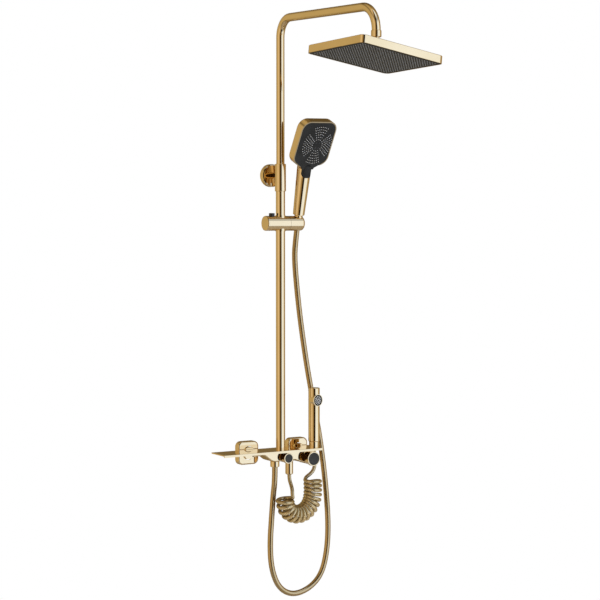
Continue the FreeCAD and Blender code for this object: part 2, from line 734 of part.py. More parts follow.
def build_upper_riser():
    back = -s.riser_out
    front = -s.riser_out - s.arm_reach
    seal = s.upper_radius - 1.2
    grooves = [
        turned(ring(s.upper_radius + 1, seal, s.upper_low + start, s.upper_low + start + 2.2), 0, back, 0)
        for start in (6, 14)
    ]
    bore = arm_solid(s.upper_radius - s.upper_wall - 0.6)
    keep("riser_upper_tube", cut(arm_solid(s.upper_radius), bore, *grooves))
    keep("riser_seals", compound(*[
        turned(ring(s.upper_radius + s.run_gap - 0.01, seal + 0.01, s.upper_low + start + 0.1,
                    s.upper_low + start + 2.1), 0, back, 0)
        for start in (6, 14)
    ]))
    keep("arm_nut", turned(
        [
            (s.neck_radius + 1.5, s.arm_nut_low),
            (s.arm_nut_radius - 1, s.arm_nut_low),
            (s.arm_nut_radius, s.arm_nut_low + 1),
            (s.arm_nut_radius, s.arm_nut_high - 1),
            (s.arm_nut_radius - 1, s.arm_nut_high),
            (s.upper_radius + s.seat_gap, s.arm_nut_high),
            (s.upper_radius + s.seat_gap, s.arm_end),
            (s.neck_radius + 1.5, s.arm_end),
        ], 0, front, 0))
    spigot = s.neck_radius + 1.5 - s.seat_gap
    stub = cut(
        fuse(
            ball(s.ball_radius, 0, front, s.ball_height),
            rod("z", s.neck_radius, s.ball_height, s.arm_nut_low, 0, front),
            rod("z", spigot, s.arm_nut_low - 1, s.arm_end + 4, 0, front),
        ),
        rod("z", s.neck_radius - 3, s.ball_height - s.ball_radius, s.arm_end + 5, 0, front),
    )
    keep("ball_stub", stub)


def build_bracket():
    """Stem, round cover, wall base and screws that hold the riser to the wall."""
    z = s.bracket_height
    y = -s.riser_out
    stem = cut(
        fuse(
            rod("y", s.stem_radius, y + 6, -s.base_thickness - 9, 0, z=z),
            rod("y", s.stem_radius - 3, -s.base_thickness - 9, -s.base_thickness - 1, 0, z=z),
        ),
        rod("z", s.sleeve_radius + s.seat_gap, z - 20, z + 20, 0, y),
        rod("z", s.wall_screw_radius + s.seat_gap, z - s.stem_radius - 1, z - 2, 0, -s.rose_depth - 8),
    )
    keep("bracket_stem", stem)
    keep("bracket_set_screw", turned(
        [
            (0, z - s.stem_radius - 11),
            (3.2, z - s.stem_radius - 11),
            (3.2, z - s.stem_radius - 0.3),
            (s.wall_screw_radius, z - s.stem_radius - 0.3),
            (s.wall_screw_radius, z - 2.2),
            (0, z - 2.2),
        ], 0, -s.rose_depth - 8, 0))
    inner = s.stem_radius + s.seat_gap
    keep("bracket_rose", turned(
        [
            (inner, s.rose_depth),
            (s.rose_radius - 3.5, s.rose_depth),
            (s.rose_radius - 1, s.rose_depth - 1.2),
            (s.rose_radius, s.rose_depth - 3.6),
            (s.rose_radius, 0),
            (s.rose_radius - s.rose_wall, 0),
            (s.rose_radius - s.rose_wall, s.rose_depth - 4),
            (s.rose_radius - s.rose_wall - 3, s.rose_depth - s.rose_wall),
            (inner, s.rose_depth - s.rose_wall),
        ], 0, 0, z, ALONG["front"]))
    boss = s.stem_radius - 3 + s.seat_gap
    base = cut(
        turned(
            [
                (0, 0),
                (s.base_radius, 0),
                (s.base_radius, s.base_thickness),
                (s.stem_radius + 2, s.base_thickness),
                (s.stem_radius + 2, s.base_thickness + 6),
                (boss, s.base_thickness + 6),
                (boss, 3),
                (0, 3),
            ], 0, 0, z, ALONG["front"]),
        *[rod("y", s.wall_screw_radius + 0.2, -s.base_thickness - 1, 1, 0, z=z + s.wall_screw_offset * side)
          for side in (-1, 1)],
    )
    keep("bracket_base", base)
    keep("bracket_wall_screws", compound(*[
        turned(
            [
                (0, -s.wall_screw_length),
                (s.wall_screw_radius, -s.wall_screw_length + 4),
                (s.wall_screw_radius, s.base_thickness + s.seat_gap),
                (4, s.base_thickness + s.seat_gap),
                (3.4, s.base_thickness + 2.4),
                (0, s.base_thickness + 2.4),
            ], 0, 0, z + s.wall_screw_offset * side, ALONG["front"])
        for side in (-1, 1)
    ]))


# ---------- rain head, built level about the ball's centre ----------

def head_turn():
    yaw = Rotation(Vector(0, 0, 1), s.head_yaw.value)
    pitch = Rotation(Vector(1, 0, 0), s.head_pitch.value)
    roll = Rotation(Vector(0, 1, 0), s.head_roll.value)
    return yaw * pitch * roll


def build_rain_head():
    place = dict(x=0, y=-s.riser_out - s.arm_reach, z=s.ball_height)
    head = dict(place, turn=head_turn())
    inner = s.ball_radius + s.run_gap
    outer = s.ball_radius + s.seat_wall
    swivel_seat = common(
        cut(ball(outer), ball(inner)),
        rod("z", outer + 1, -s.ball_radius + 1.5, -3))
    keep("ball_swivel_seat", stand(swivel_seat, **place))
    tilt_seat = common(
        cut(ball(outer), ball(inner)),
        rod("z", outer + 1, 1.5, s.ball_radius - 6))
    keep("ball_tilt_seat", stand(tilt_seat, turn=head_turn(), **place))

    slab_top = -s.head_drop + s.head_thickness / 2
    slab_low = slab_top - s.head_thickness
    cavity = outer + s.run_gap
    seam = as_size(-1.5)
    cover = cut(
        fuse(
            slab(s.head_width, s.head_depth, slab_low, slab_top, s.head_corner, top_edge=s.head_edge),
            rod("z", s.socket_radius - 1.5, slab_top - 1, seam),
        ),
        slab(s.head_width - s.head_wall * 2, s.head_depth - s.head_wall * 2, slab_low - 1,
             slab_top - s.head_wall, s.head_corner - s.head_wall),
        ball(cavity),
        rod("z", 4.5, slab_low, -s.ball_radius),
    )
    keep("rain_head_cover", stand(cover, **head))
    collar = cut(
        turned(
            [
                (s.socket_radius - 1.5 + s.seat_gap, slab_top + 0.3),
                (s.socket_radius - 0.4, slab_top + 0.3),
                (s.socket_radius, slab_top + 0.7),
                (s.socket_radius, 5.5),
                (s.socket_radius - 2.5, 9.5),
                (0, 9.5),
                (0, seam + s.seat_gap),
                (s.socket_radius - 1.5 + s.seat_gap, seam + s.seat_gap),
            ]),
        ball(cavity),
        rod("z", s.socket_opening, 0, 10),
    )
    keep("head_collar_nut", stand(collar, **head))

    face_low = slab_low + 0.4
    face_width = s.head_width - s.head_wall * 2 - s.seat_gap * 2
    face_depth = s.head_depth - s.head_wall * 2 - s.seat_gap * 2
    face_corner = s.head_corner - s.head_wall - s.seat_gap
    face_top = face_low + s.head_face_thickness
    face = cut(
        slab(face_width, face_depth, face_low, face_top, face_corner),
        slab(face_width - 16, face_depth - 16, face_top - 1.4, face_top + 1, face_corner - 4),
    )
    keep("rain_head_face", stand(face, **head))
    mat = slab(face_width - 16.4, face_depth - 16.4, face_top - 1.4 + s.seat_gap,
               face_top + 1.2, face_corner - 4.2)
    keep("rain_nozzle_mat", stand(mat, **head))
    water_top = slab_top - s.head_wall - s.seat_gap
    chamber = cut(
        slab(face_width - 8, face_depth - 8, face_top + s.seat_gap, water_top, face_corner - 2),
        slab(face_width - 12, face_depth - 12, face_top - 1, water_top - 2, face_corner - 4),
        rod("z", 4.5, water_top - 3, water_top + 1),
    )
    keep("rain_water_chamber", stand(chamber, **head))


# ---------- slider and holder, built about the riser at the slider's height ----------

def build_slider():
    place = dict(x=0, y=-s.riser_out, z=s.slider_height)
    bush_outer = s.riser_radius + s.run_gap + s.bush_wall
    cap_face = -s.slider_left + s.cap_thickness
    body = cut(
        rod("x", s.slider_radius, cap_face + s.seat_gap, s.slider_seam),
        rod("z", bush_outer + s.seat_gap, -s.slider_radius - 1, s.slider_radius + 1),
        rod("x", s.cavity_radius, cap_face - 1, -bush_outer - 2.5),
        rod("z", s.button_radius + s.run_gap, 0, s.slider_radius + 1, x=-s.button_left),
        rod("x", s.pivot_radius + s.run_gap, s.slider_seam - s.pivot_length - 0.3, s.slider_seam + 1),
        rod("x", 3, -s.button_left, -s.riser_radius, z=0),
    )
    keep("slider_body", stand(body, **place))
    keep("slider_bush", stand(turned(ring(bush_outer, s.riser_radius + s.run_gap, -s.bush_half, s.bush_half)),
                              **place))
    cap = turned(
        [
            (0, -s.slider_left),
            (s.slider_radius - 2, -s.slider_left),
            (s.slider_radius - 0.5, -s.slider_left + 0.7),
            (s.slider_radius, -s.slider_left + 2),
            (s.slider_radius, cap_face),
            (s.cavity_radius - s.seat_gap, cap_face),
            (s.cavity_radius - s.seat_gap, cap_face + 4),
            (s.cavity_radius - 2, cap_face + 4),
            (s.cavity_radius - 2, cap_face),
            (0, cap_face),
        ], turn=ALONG["x"])
    keep("slider_end_cap", stand(cap, turn=ALONG["x"], **place))

    button_low = s.cavity_radius - 7
    button = turned(
        [
            (0, button_low),
            (s.button_radius + 1.2, button_low),
            (s.button_radius + 1.2, button_low + 2),
            (s.button_radius, button_low + 2),
            (s.button_radius, s.button_top - 0.8),
            (s.button_radius - 0.8, s.button_top),
            (0, s.button_top),
        ], x=-s.button_left)
    keep("slider_button", stand(compound(button), **place))
    coil = s.button_radius - 2.5
    spring = compound(turned(
        ring(coil, coil - 1.2, -s.cavity_radius + 1, button_low - 0.1), x=-s.button_left))
    keep("slider_spring", stand(spring, **place))
    pad = cut(
        rod("x", 3 - s.seat_gap, -s.button_left + 7, -s.riser_radius + 2),
        rod("z", s.riser_radius + s.run_gap + s.bush_wall + s.seat_gap * 2, -10, 10),
    )
    keep("slider_brake_pad", stand(pad, **place))


def handset_turn(with_turn=True):
    lean = Rotation(Vector(1, 0, 0), s.handset_lean.value)
    turn = Rotation(Vector(0, 0, 1), s.handset_turn.value if with_turn else 0)
    return lean * turn


def build_holder():
    place = dict(x=0, y=-s.riser_out, z=s.slider_height)
    axis = dict(place, x=s.holder_bore_at)
    slope = (s.cone_top_radius - s.cone_bottom_radius) / (s.cone_high - s.cone_low)
    reach = 30
    gap = s.run_gap
    hole = turned(
        [
            (0, -reach),
            (s.cone_bottom_radius + gap - slope * (reach + s.cone_low), -reach),
            (s.cone_top_radius + gap + slope * (reach - s.cone_high), reach),
            (0, reach),
        ])
    stand(hole, x=s.holder_bore_at, turn=handset_turn(False))
    shell = turned(
        [
            (0, s.slider_seam + 0.5),
            (s.slider_radius, s.slider_seam + 0.5),
            (s.slider_radius, s.holder_right - 7),
            (s.slider_radius - 1.1, s.holder_right - 3.6),
            (s.slider_radius - 3.8, s.holder_right - 1),
            (s.slider_radius - 7.5, s.holder_right),
            (0, s.holder_right),
        ])
    stand(shell, turn=ALONG["x"])
    pivot_end = s.slider_seam - s.pivot_length
    holder = cut(fuse(shell, rod("x", s.pivot_radius, pivot_end, s.slider_seam + 1)), hole)
    keep("holder_swivel", stand(holder, **place))

    nut = turned(
        [
            (s.bidet_hose_radius, s.cone_low),
            (s.cone_bottom_radius, s.cone_low),
            (s.cone_top_radius, s.cone_high),
            (s.stub_radius + gap, s.cone_high),
            (s.stub_radius + gap, s.stub_low - 2),
            (s.bidet_hose_radius, s.stub_low - 2),
        ])
    keep("hose_cone_nut", stand(nut, turn=handset_turn(), **axis))


# ---------- hand shower, along its own axis from the holder's middle ----------

def spray_frame(item):
    """Put a piece made flat about Z, front upwards, where the spray head stands on the handle."""
    lean = Rotation(Vector(1, 0, 0), 90 + s.spray_bend.value)
    return stand(item, 0, -s.spray_forward, s.spray_centre, lean)


def handle_radius(along):
    """The handle's radius at a height along it."""
    return s.handle_low_radius + (s.handle_high_radius - s.handle_low_radius) * (
        (along - s.handle_low) / (s.handle_high - s.handle_low))


def handle_skin(start, end, inward, outward):
    """A layer of the handle, between two depths measured from its surface."""
    return turned([
        (handle_radius(start) - inward, start),
        (handle_radius(start) + outward, start),
        (handle_radius(end) + outward, end),
        (handle_radius(end) - inward, end),
    ])


def tongue_shape(grow, deep, high=0.35):
    """The dark tongue that runs from the spray face down the handle's front, following its curve."""
    half = s.tongue_width / 2 + grow
    low, top = s.tongue_low - grow, s.handle_high - 3
    front = prism(
        [
            (-half + 9, low),
            (half - 9, low),
            (half - 3, low + 2.5),
            (half, low + 9),
            (half, top),
            (-half, top),
            (-half, low + 9),
            (-half + 3, low + 2.5),
        ],
        0,
        40,
        plane="XZ_Plane",
    )
    return common(front, handle_skin(low, top, deep, high))


def button_shape(grow, deep, high):
    """The mode button in the tongue."""
    half = 11 + grow
    low, top = s.tongue_low + 11 - grow, s.tongue_low + 31 + grow
    front = prism([(-half, low), (half, low), (half, top), (-half, top)], 0, 40, plane="XZ_Plane")
    return common(front, handle_skin(low, top, deep, high))


def apron_shape(grow, low, high):
    """The dark area that narrows from the spray face to the tongue, flat in the face's plane."""
    down = -s.spray_height / 2
    half = s.tongue_width / 2
    return spray_frame(prism(
        [
            (-34 - grow, down + 8),
            (-38 - grow, down + 4),
            (-28 - grow, down - 2 - grow),
            (-half - 4 - grow, down - 7 - grow),
            (-half - 1.5 - grow, down - 12 - grow),
            (half + 1.5 + grow, down - 12 - grow),
            (half + 4 + grow, down - 7 - grow),
            (28 + grow, down - 2 - grow),
            (38 + grow, down + 4),
            (34 + grow, down + 8),
        ], low, high))


def build_handset():
    place = dict(x=s.holder_bore_at, y=-s.riser_out, z=s.slider_height, turn=handset_turn())
    half = s.spray_thickness / 2
    inner_width = s.spray_width - s.spray_rim * 2
    inner_height = s.spray_height - s.spray_rim * 2
    inner_corner = s.spray_corner - s.spray_rim
    head = slab(s.spray_width, s.spray_height, -half, half, s.spray_corner, bottom_edge=s.spray_edge)
    hollow = slab(inner_width, inner_height, -half + 3, half + 1, inner_corner)
    handle = turned(
        [
            (0, s.handle_low),
            (s.handle_low_radius - 1, s.handle_low),
            (s.handle_low_radius, s.handle_low + 1),
            (s.handle_high_radius, s.handle_high),
            (s.handle_high_radius - 4, s.handle_high + 10),
            (0, s.handle_high + 14),
        ])
    shell = cut(
        fuse(spray_frame(head), handle, apron_shape(1.2, half - 12, half - s.spray_face - 0.4)),
        spray_frame(hollow),
        rod("z", s.handle_bore, s.handle_low, s.handle_high + 6),
        tongue_shape(s.seat_gap, s.tongue_depth, 5),
        apron_shape(s.seat_gap, half - s.spray_face - s.seat_gap, half + 5),
    )
    keep("handset_shell", stand(shell, **place))
    keep("handset_inlet", stand(turned(
        [
            (s.bidet_hose_radius, s.stub_low),
            (s.stub_radius, s.stub_low),
            (s.stub_radius, s.handle_low - s.seat_gap),
            (s.handle_bore - s.seat_gap, s.handle_low - s.seat_gap),
            (s.handle_bore - s.seat_gap, s.handle_low + 10),
            (s.bidet_hose_radius, s.handle_low + 10),
        ]), **place))

    gap = s.seat_gap * 2
    plate = spray_frame(slab(inner_width - gap, inner_height - gap, half - s.spray_face, half - 0.5,
                             inner_corner - s.seat_gap))
    face = cut(
        fuse(plate, apron_shape(0, half - s.spray_face, half - 0.5),
             tongue_shape(0, s.tongue_depth - s.seat_gap)),
        button_shape(0.15, s.tongue_depth + 5, 5),
    )
    keep("handset_face", stand(face, **place))
    keep("handset_mode_button", stand(button_shape(0, s.tongue_depth - 1.8, 1.1), **place))


# ---------- bidet sprayer, built upright on the shelf ----------

def build_sprayer():
    place = dict(x=s.sprayer_right, y=-s.sprayer_out, z=s.shelf_top)
    set_turn = Rotation(Vector(0, 0, 1), s.sprayer_turn.value)
    keep("sprayer_cup", stand(turned(
        [
            (s.cup_hole, 0),
            (s.cup_radius, 0),
            (s.cup_radius, s.cup_height - 0.6),
            (s.cup_radius - 0.6, s.cup_height),
            (s.cup_bore, s.cup_height),
            (s.cup_bore, s.cup_floor),
            (s.cup_hole, s.cup_floor),
        ]), **place))
    stub_low = s.cup_floor + 5
    keep("sprayer_hose_nut", stand(turned(
        [
            (s.bidet_hose_radius - 1.5, s.cup_floor + 0.1),
            (s.sprayer_nut, s.cup_floor + 0.1),
            (s.sprayer_nut, s.cup_height - 1),
            (s.sprayer_stub + s.run_gap, s.cup_height - 1),
            (s.sprayer_stub + s.run_gap, stub_low - 1),
            (s.bidet_hose_radius - 1.5, stub_low - 1),
        ]), **place))

    inner = s.sprayer_radius - s.sprayer_wall
    barrel = turned(
        [
            (0, stub_low),
            (s.sprayer_stub, stub_low),
            (s.sprayer_stub, s.sprayer_low),
            (s.sprayer_radius - 0.8, s.sprayer_low),
            (s.sprayer_radius, s.sprayer_low + 0.8),
            (s.sprayer_radius, s.sprayer_high - 0.8),
            (s.sprayer_radius - 0.8, s.sprayer_high),
            (0, s.sprayer_high),
        ])
    disc = rod("y", s.spray_disc_radius, -s.spray_disc_out, 0, 0, z=s.spray_disc_height)
    slot = s.trigger_width / 2 + 0.6
    pin_out = s.trigger_out - 2.5
    body = cut(
        fuse(barrel, disc),
        rod("z", inner - 5, s.sprayer_low + 4, s.sprayer_high - 3),
        rod("z", s.bidet_hose_radius - 1, stub_low - 1, s.sprayer_low + 5),
        rod("y", s.spray_disc_radius - 1.5, -s.spray_disc_out - 1, -s.spray_disc_out + 2.6, 0,
            z=s.spray_disc_height),
        rod("y", 5, -s.spray_disc_out, 0, 0, z=s.spray_disc_height),
        brick(-slot, slot, s.trigger_recess, s.trigger_out + 5, s.trigger_low - 4, s.sprayer_high + 1),
        rod("x", 1.5 + s.seat_gap, -11, 11, y=pin_out, z=s.trigger_pin_height),
    )
    keep("sprayer_body", stand(body, turn=set_turn, **place))
    keep("sprayer_face", stand(cut(
        rod("y", s.spray_disc_radius - 1.5 - s.seat_gap, -s.spray_disc_out + 0.3, -s.spray_disc_out + 2.5, 0,
            z=s.spray_disc_height),
        rod("y", 1, -s.spray_disc_out, -s.spray_disc_out + 3, 0, z=s.spray_disc_height),
    ), turn=set_turn, **place))
    keep("sprayer_trigger_pin", stand(
        compound(rod("x", 1.5, -8.5, 8.5, y=pin_out, z=s.trigger_pin_height)), turn=set_turn, **place))
    half = s.trigger_width / 2
    lever = cut(
        fuse(
            brick(-half, half, s.trigger_out, s.trigger_out + s.trigger_thickness, s.trigger_low,
                  s.trigger_pin_height + 3.5),
            brick(-half, half, s.trigger_out - 4.8, s.trigger_out + 0.2, s.trigger_pin_height - 3,
                  s.trigger_pin_height + 3.5),
        ),
        rod("x", 1.5 + s.run_gap, -half - 1, half + 1, y=pin_out, z=s.trigger_pin_height),
    )
    keep("sprayer_trigger", stand(lever, turn=set_turn, **place))
    keep("sprayer_trigger_spring", stand(compound(
        turned(ring(2.6, 1.8, s.trigger_recess + 0.05, s.trigger_out - 0.1), z=s.trigger_low + 22,
               turn=ALONG["y"])), turn=set_turn, **place))


def build_outlets():
    """Nuts under the mixer: the hand hose's round nut and the bidet hose's long ferrule."""
    keep("hose_lower_nut", turned(
        [
            (s.bidet_hose_radius, -s.hose_nut_bottom),
            (s.hose_nut_radius - 1.2, -s.hose_nut_bottom),
            (s.hose_nut_radius, -s.hose_nut_bottom + 1.2),
            (s.hose_nut_radius, -s.hose_nut_top - 1),
            (s.hose_nut_radius - 1, -s.hose_nut_top),
            (s.spigot_radius + s.seat_gap, -s.hose_nut_top),
            (s.spigot_radius + s.seat_gap, -s.hose_nut_bottom + 2.8),
            (s.bidet_hose_radius, -s.hose_nut_bottom + 2.8),
        ], -s.hose_outlet_left, -s.outlet_out, 0))
    keep("bidet_hose_ferrule", turned(
        [
            (s.bidet_hose_radius - 1.5, -s.bidet_ferrule_bottom),
            (s.bidet_ferrule_radius - 2.4, -s.bidet_ferrule_bottom),
            (s.bidet_ferrule_radius, -s.bidet_ferrule_bottom + 2.4),
            (s.bidet_ferrule_radius, -s.bidet_ferrule_top - 1),
            (s.bidet_ferrule_radius - 1, -s.bidet_ferrule_top),
            (s.bidet_spigot_radius + s.seat_gap, -s.bidet_ferrule_top),
            (s.bidet_spigot_radius + s.seat_gap, -s.bidet_spigot_end - 1),
            (s.bidet_hose_radius - 1.5, -s.bidet_spigot_end - 1),
        ], s.bidet_outlet_right, -s.outlet_out, 0))


# ---------- hoses ----------

def build_cord(name, radius, points):
    """A tube along straight runs joined by tangent arcs as large as the runs allow."""
    edges = []
    radii = []
    length = 0.0
    start = points[0]
    for before, corner, after in zip(points, points[1:], points[2:]):
        back, ahead = before - corner, after - corner
        reach = 0.45 * min(back.Length, ahead.Length)
        turn = math.pi - back.getAngle(ahead)
        bend = reach / math.tan(turn / 2)
        back.normalize()
        ahead.normalize()
        first, last = corner + back * reach, corner + ahead * reach
        inward = (back + ahead).normalize()
        middle = corner + inward * (bend / math.cos(turn / 2) - bend)
        edges.append(Part.LineSegment(start, first).toShape())
        edges.append(Part.Arc(first, middle, last).toShape())
        radii.append(round(bend, 1))
        start = last
    edges.append(Part.LineSegment(start, points[-1]).toShape())
    path = Part.Wire(edges)
    length = path.Length
    circle = Part.Wire([Part.makeCircle(radius.value, points[0], points[1] - points[0])])
    solid = path.makePipeShell([circle], True, False)
    wanted = math.pi * radius.value ** 2 * length
    print(f"{name}: length {length:.0f}, radii {radii}, volume ratio {solid.Volume / wanted:.4f}")
    feature = doc.addObject("Part::Feature", "Cord")
    feature.Shape = solid
    feature.Placement = Placement()
    keep(name, feature)


def build_hoses():
    cone_end = handset_turn(False).multVec(Vector(0, 0, s.cone_low.value - 0.05))
    cone_lead = handset_turn(False).multVec(Vector(0, 0, s.cone_low.value - 27))
    holder = Vector(s.holder_bore_at.value, -s.riser_out.value, s.slider_height.value)
    hand_nut = Vector(-s.hose_outlet_left.value, -s.outlet_out.value, -s.hose_nut_bottom.value)
    build_cord("hand_hose", s.hand_hose_radius, [
        holder + cone_end,
        holder + cone_lead,
        Vector(48.5, -44, 508),
        Vector(56, -43, 430),
        Vector(71, -39, 330),
        Vector(93, -36, 210),
        Vector(114, -36, 110),
        Vector(128, -40, 35),
        Vector(131, -55, -40),
        Vector(136, -63, -120),
        Vector(141, -65, -205),
        Vector(137, -65, -275),
        Vector(121, -65, -335),
        Vector(85, -64, -370),
        Vector(34, -62, -384),
        Vector(-8, -60, -362),
        Vector(-29, -57, -310),
        Vector(-32, -54, -245),
        Vector(-24, -50, -170),
        Vector(-20, -51, -115),
        Vector(-21.4, -62, -76),
        hand_nut,
    ])
    ferrule = Vector(s.bidet_outlet_right.value, -s.outlet_out.value, -s.bidet_ferrule_bottom.value)
    build_cord("bidet_hose_lower_lead", s.bidet_hose_radius, [
        ferrule,
        ferrule + Vector(0, 0, -13),
        Vector(23, -71, -91),
        Vector(19, -83, -101),
        Vector(16.5, -87.5, -112),
        Vector(16.5, -87.5, -122),
    ])
    build_cord("bidet_hose_curl", s.curl_radius, [
        Vector(0, -78, -122),
        Vector(0, -78, -142),
        Vector(14, -78, -161),
        Vector(38, -78, -169),
        Vector(64, -78, -161),
        Vector(82, -78, -138),
        Vector(86, -78, -107),
        Vector(84, -78, -79),
    ])
    sprayer_low = Vector(s.sprayer_right.value, -s.sprayer_out.value, s.shelf_top.value + s.cup_floor.value)
    build_cord("bidet_hose_upper_lead", s.bidet_hose_radius, [
        sprayer_low,
        sprayer_low + Vector(0, 0, -21),
        Vector(96.5, -70, -36),
        Vector(92, -71.5, -55),
        Vector(80, -71, -68),
        Vector(70, -69, -79),
    ])


# ---------- build, check and write ----------

def check_document():
    doc.recompute()
    for item in doc.Objects:
        if "Invalid" in item.State or "Error" in item.State:
            raise RuntimeError(f"{item.Name} ({item.Label}) failed: {item.State}")
    for piece in pieces:
        if piece.Shape.isNull() or not piece.Shape.isValid() or not piece.Shape.Solids:
            raise RuntimeError(f"{piece.Label} has no valid solid")


def write_pieces():
    os.makedirs("parts", exist_ok=True)
    for piece in pieces:
        piece.Shape.exportStep(f"parts/{piece.Label}.step")
    print(f"{len(pieces)} pieces written")


build_inlet("left", -1)
build_inlet("right", 1)
build_inlet_groups()
build_mixer_body()
build_shelf()
build_valve("diverter", 0, s.diverter_drop, s.diverter_front, s.diverter_knob_radius, s.diverter_bore,
            s.diverter_bore_end)
build_valve("mixer", s.mixer_right, s.mixer_drop, s.mixer_front, s.mixer_knob_radius, s.mixer_bore,
            s.mixer_bore_end)
build_riser()
build_upper_riser()
build_bracket()
build_rain_head()
build_slider()
build_holder()
build_handset()
build_sprayer()
build_outlets()
build_hoses()
check_document()
write_pieces()
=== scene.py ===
import json
import math

import bpy
from mathutils import Matrix, Vector


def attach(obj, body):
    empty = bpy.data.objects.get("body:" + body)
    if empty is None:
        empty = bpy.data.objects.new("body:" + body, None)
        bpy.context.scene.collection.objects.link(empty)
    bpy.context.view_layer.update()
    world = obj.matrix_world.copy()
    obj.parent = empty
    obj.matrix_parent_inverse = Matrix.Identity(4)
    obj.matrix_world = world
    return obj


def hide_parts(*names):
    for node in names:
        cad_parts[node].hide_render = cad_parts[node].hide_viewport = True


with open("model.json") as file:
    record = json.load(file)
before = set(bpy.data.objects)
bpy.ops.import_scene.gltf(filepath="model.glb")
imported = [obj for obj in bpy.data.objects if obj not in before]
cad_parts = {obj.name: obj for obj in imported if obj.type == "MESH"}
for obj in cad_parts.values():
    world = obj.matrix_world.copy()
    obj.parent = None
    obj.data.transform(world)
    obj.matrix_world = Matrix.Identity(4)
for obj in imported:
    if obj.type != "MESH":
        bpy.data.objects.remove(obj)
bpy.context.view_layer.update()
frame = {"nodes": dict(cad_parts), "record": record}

nodes = frame["nodes"]
mm = 0.001
print("frame loaded,", len(nodes), "nodes")


def turnAbout(axis, degrees):
    return Matrix.Rotation(math.radians(degrees), 4, axis)


def place(x, y, z):
    return Matrix.Translation(Vector((x, y, z)) * mm)


def link(piece):
    bpy.context.scene.collection.objects.link(piece)
    return piece


def settle(piece, name):
    # bake the modifiers and drop them, so that only a mesh is left at the origin
    depsgraph = bpy.context.evaluated_depsgraph_get()
    mesh = bpy.data.meshes.new_from_object(piece.evaluated_get(depsgraph), depsgraph=depsgraph)
    bpy.data.objects.remove(piece)
    mesh.name = name
    return link(bpy.data.objects.new(name, mesh))


def smoothAbove(mesh, degrees):
    mesh.shade_smooth()
    mesh.set_sharp_from_angle(angle=math.radians(degrees))


def localBox(nodeName, matrix):
    # lowest and highest corner of a CAD node, seen from a turned frame
    back = matrix.inverted()
    points = [back @ v.co for v in nodes[nodeName].data.vertices]
    low = Vector(min(p[i] for p in points) for i in range(3))
    high = Vector(max(p[i] for p in points) for i in range(3))
    return low, high


cameraPlace = {"x": -2.2551, "y": -3.9205, "z": 0.6039, "azimuth": 30.91, "down": 2.67, "lens": 103.08}


def makeCamera(spec):
    data = bpy.data.cameras.new("mainCamera")
    data.lens = spec["lens"]
    data.sensor_width = 36
    data.clip_end = 60
    camera = link(bpy.data.objects.new("mainCamera", data))
    camera.location = (spec["x"], spec["y"], spec["z"])
    a = math.radians(spec["azimuth"])
    p = math.radians(spec["down"])
    ahead = Vector((math.sin(a) * math.cos(p), math.cos(a) * math.cos(p), -math.sin(p)))
    camera.rotation_euler = ahead.to_track_quat("-Z", "Y").to_euler()
    bpy.context.scene.camera = camera


makeCamera(cameraPlace)
bpy.context.scene.view_settings.view_transform = "Standard"
print("camera done")


def makeFinish(name, spec):
    material = bpy.data.materials.new(name)
    material.use_nodes = True
    tree = material.node_tree
    shader = tree.nodes["Principled BSDF"]
    shader.inputs["Metallic"].default_value = spec.get("metallic", 0)
    shader.inputs["Coat Weight"].default_value = spec.get("coat", 0)
    shader.inputs["Coat Roughness"].default_value = spec.get("coatRoughness", 0.1)
    shader.inputs["Specular IOR Level"].default_value = spec.get("specular", 0.5)
    where = tree.nodes.new("ShaderNodeTexCoord")
    stretch = tree.nodes.new("ShaderNodeMapping")
    stretch.inputs["Scale"].default_value = spec.get("stretch", (1, 1, 1))
    tree.links.new(where.outputs["Object"], stretch.inputs["Vector"])
    cloud = tree.nodes.new("ShaderNodeTexNoise")  # broad patches, as handling and water leave
    cloud.inputs["Scale"].default_value = spec["cloudScale"]
    cloud.inputs["Detail"].default_value = 4
    grain = tree.nodes.new("ShaderNodeTexNoise")  # fine texture of the surface
    grain.inputs["Scale"].default_value = spec["grainScale"]
    grain.inputs["Detail"].default_value = 2
    for noise in (cloud, grain):
        tree.links.new(stretch.outputs["Vector"], noise.inputs["Vector"])
    tint = tree.nodes.new("ShaderNodeValToRGB")
    tint.color_ramp.elements[0].position = 0.35
    tint.color_ramp.elements[1].position = 0.65
    tint.color_ramp.elements[0].color = (*spec["color"], 1)
    tint.color_ramp.elements[1].color = (*spec["secondColor"], 1)
    tree.links.new(cloud.outputs["Fac"], tint.inputs["Fac"])
    tree.links.new(tint.outputs["Color"], shader.inputs["Base Color"])
    gloss = tree.nodes.new("ShaderNodeMapRange")
    gloss.inputs["From Min"].default_value = 0.3
    gloss.inputs["From Max"].default_value = 0.7
    gloss.inputs["To Min"].default_value = spec["roughness"][0]
    gloss.inputs["To Max"].default_value = spec["roughness"][1]
    tree.links.new(cloud.outputs["Fac"], gloss.inputs["Value"])
    tree.links.new(gloss.outputs["Result"], shader.inputs["Roughness"])
    bump = tree.nodes.new("ShaderNodeBump")
    bump.inputs["Strength"].default_value = spec["bump"]
    bump.inputs["Distance"].default_value = spec.get("bumpHeight", 0.0001)
    tree.links.new(grain.outputs["Fac"], bump.inputs["Height"])
    tree.links.new(bump.outputs["Normal"], shader.inputs["Normal"])
    return material


